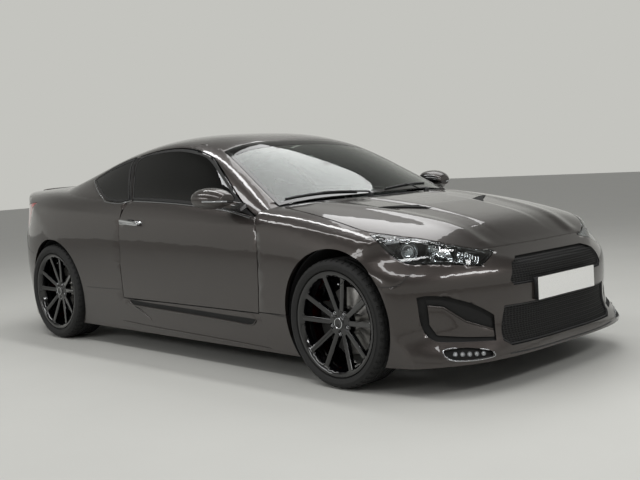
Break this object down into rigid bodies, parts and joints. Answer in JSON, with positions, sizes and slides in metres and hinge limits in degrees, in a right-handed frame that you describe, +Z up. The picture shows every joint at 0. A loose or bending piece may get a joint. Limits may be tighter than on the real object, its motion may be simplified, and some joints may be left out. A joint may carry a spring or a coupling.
{
  "type": "two-door sports coupe car",
  "caption": "Two-door coupe with opening doors, hood and boot lid, steered front wheels and a full cabin.",
  "frame": {"origin": "on the floor, midway between the bumpers and between the sides", "axes": "+X towards the nose, +Y to the left, +Z up"},
  "size_m": [4.583, 2.1364, 1.369],
  "materials": {
    "body_paint": "gloss",
    "black_plastic": "satin",
    "tinted_glass": "gloss",
    "clear_lens": "gloss",
    "red_lens": "gloss",
    "lamp_housing": "gloss",
    "underbody_paint": "satin",
    "chassis_steel": "matte",
    "steel": "satin",
    "wheel_paint": "gloss",
    "tyre": "matte",
    "seat_leather": "satin",
    "interior_plastic": "matte",
    "plate_white": "satin"
  },
  "bodies": {
    "body": {"underbody": "underbody_paint", "front_fenders": "body_paint", "side_frames": "body_paint", "roof": "body_paint", "front_bumper": "body_paint", "rear_bumper": "body_paint", "side_skirts": "body_paint", "windscreen": "tinted_glass", "rear_window": "tinted_glass", "quarter_glass": "tinted_glass", "headlamp_lenses": "clear_lens", "headlamps": "lamp_housing", "tail_lamps": "red_lens", "grilles": "black_plastic", "cowl": "black_plastic", "wipers": "black_plastic", "plates": "plate_white", "exhaust": "steel", "dashboard": "interior_plastic", "front_seats": "seat_leather", "rear_seat": "seat_leather", "engine": "chassis_steel", "front_subframe": "chassis_steel", "rear_subframe": "chassis_steel"},
    "hood": {"hood": "body_paint"},
    "trunk_lid": {"trunk_lid": "body_paint"},
    "steering_wheel": {"steering_wheel": "interior_plastic"},
    "door_left": {"door_left": "body_paint", "door_glass_left": "tinted_glass", "mirror_left": "body_paint"},
    "knuckle_left": {"knuckle_left": "chassis_steel"},
    "wheel_front_left": {"rim_front_left": "wheel_paint", "tyre_front_left": "tyre", "brake_disc_front_left": "steel"},
    "wheel_rear_left": {"rim_rear_left": "wheel_paint", "tyre_rear_left": "tyre", "brake_disc_rear_left": "steel"},
    "door_right": {"door_right": "body_paint", "door_glass_right": "tinted_glass", "mirror_right": "body_paint"},
    "knuckle_right": {"knuckle_right": "chassis_steel"},
    "wheel_front_right": {"rim_front_right": "wheel_paint", "tyre_front_right": "tyre", "brake_disc_front_right": "steel"},
    "wheel_rear_right": {"rim_rear_right": "wheel_paint", "tyre_rear_right": "tyre", "brake_disc_rear_right": "steel"}
  },
  "joints": [
    {"name": "hood_hinge", "type": "hinge", "parent": "body", "child": "hood", "pos_m": [1.0035, 0, 0.909], "axis": [0, -1, 0], "range_deg": [0, 50]},
    {"name": "trunk_hinge", "type": "hinge", "parent": "body", "child": "trunk_lid", "pos_m": [-1.5145, 0, 1.076], "axis": [0, 1, 0], "range_deg": [0, 75]},
    {"name": "steering_wheel_turn", "type": "hinge", "parent": "body", "child": "steering_wheel", "pos_m": [0.4935, 0.37, 0.79], "axis": [-0.9404, 0, 0.3402], "range_deg": [-480, 480]},
    {"name": "door_left_hinge", "type": "hinge", "parent": "body", "child": "door_left", "pos_m": [0.9175, 0.905, 0.6], "axis": [0, 0, -1], "range_deg": [0, 62]},
    {"name": "steer_left", "type": "hinge", "parent": "body", "child": "knuckle_left", "pos_m": [1.5125, 0.7515, 0.331], "axis": [0, 0, 1], "range_deg": [-34, 34]},
    {"name": "wheel_front_left_spin", "type": "hinge", "parent": "knuckle_left", "child": "wheel_front_left", "pos_m": [1.5125, 0.8015, 0.331], "axis": [0, 1, 0], "continuous": true},
    {"name": "wheel_rear_left_spin", "type": "hinge", "parent": "body", "child": "wheel_rear_left", "pos_m": [-1.3075, 0.806, 0.338], "axis": [0, 1, 0], "continuous": true},
    {"name": "door_right_hinge", "type": "hinge", "parent": "body", "child": "door_right", "pos_m": [0.9175, -0.905, 0.6], "axis": [0, 0, 1], "range_deg": [0, 62]},
    {"name": "steer_right", "type": "hinge", "parent": "body", "child": "knuckle_right", "pos_m": [1.5125, -0.7515, 0.331], "axis": [0, 0, 1], "range_deg": [-34, 34]},
    {"name": "wheel_front_right_spin", "type": "hinge", "parent": "knuckle_right", "child": "wheel_front_right", "pos_m": [1.5125, -0.8015, 0.331], "axis": [0, 1, 0], "continuous": true},
    {"name": "wheel_rear_right_spin", "type": "hinge", "parent": "body", "child": "wheel_rear_right", "pos_m": [-1.3075, -0.806, 0.338], "axis": [0, 1, 0], "continuous": true}
  ],
  "couplings": [
    {"joint": "steer_left", "follows": "steering_wheel_turn", "ratio": 0.07},
    {"joint": "steer_right", "follows": "steering_wheel_turn", "ratio": 0.07}
  ]
}
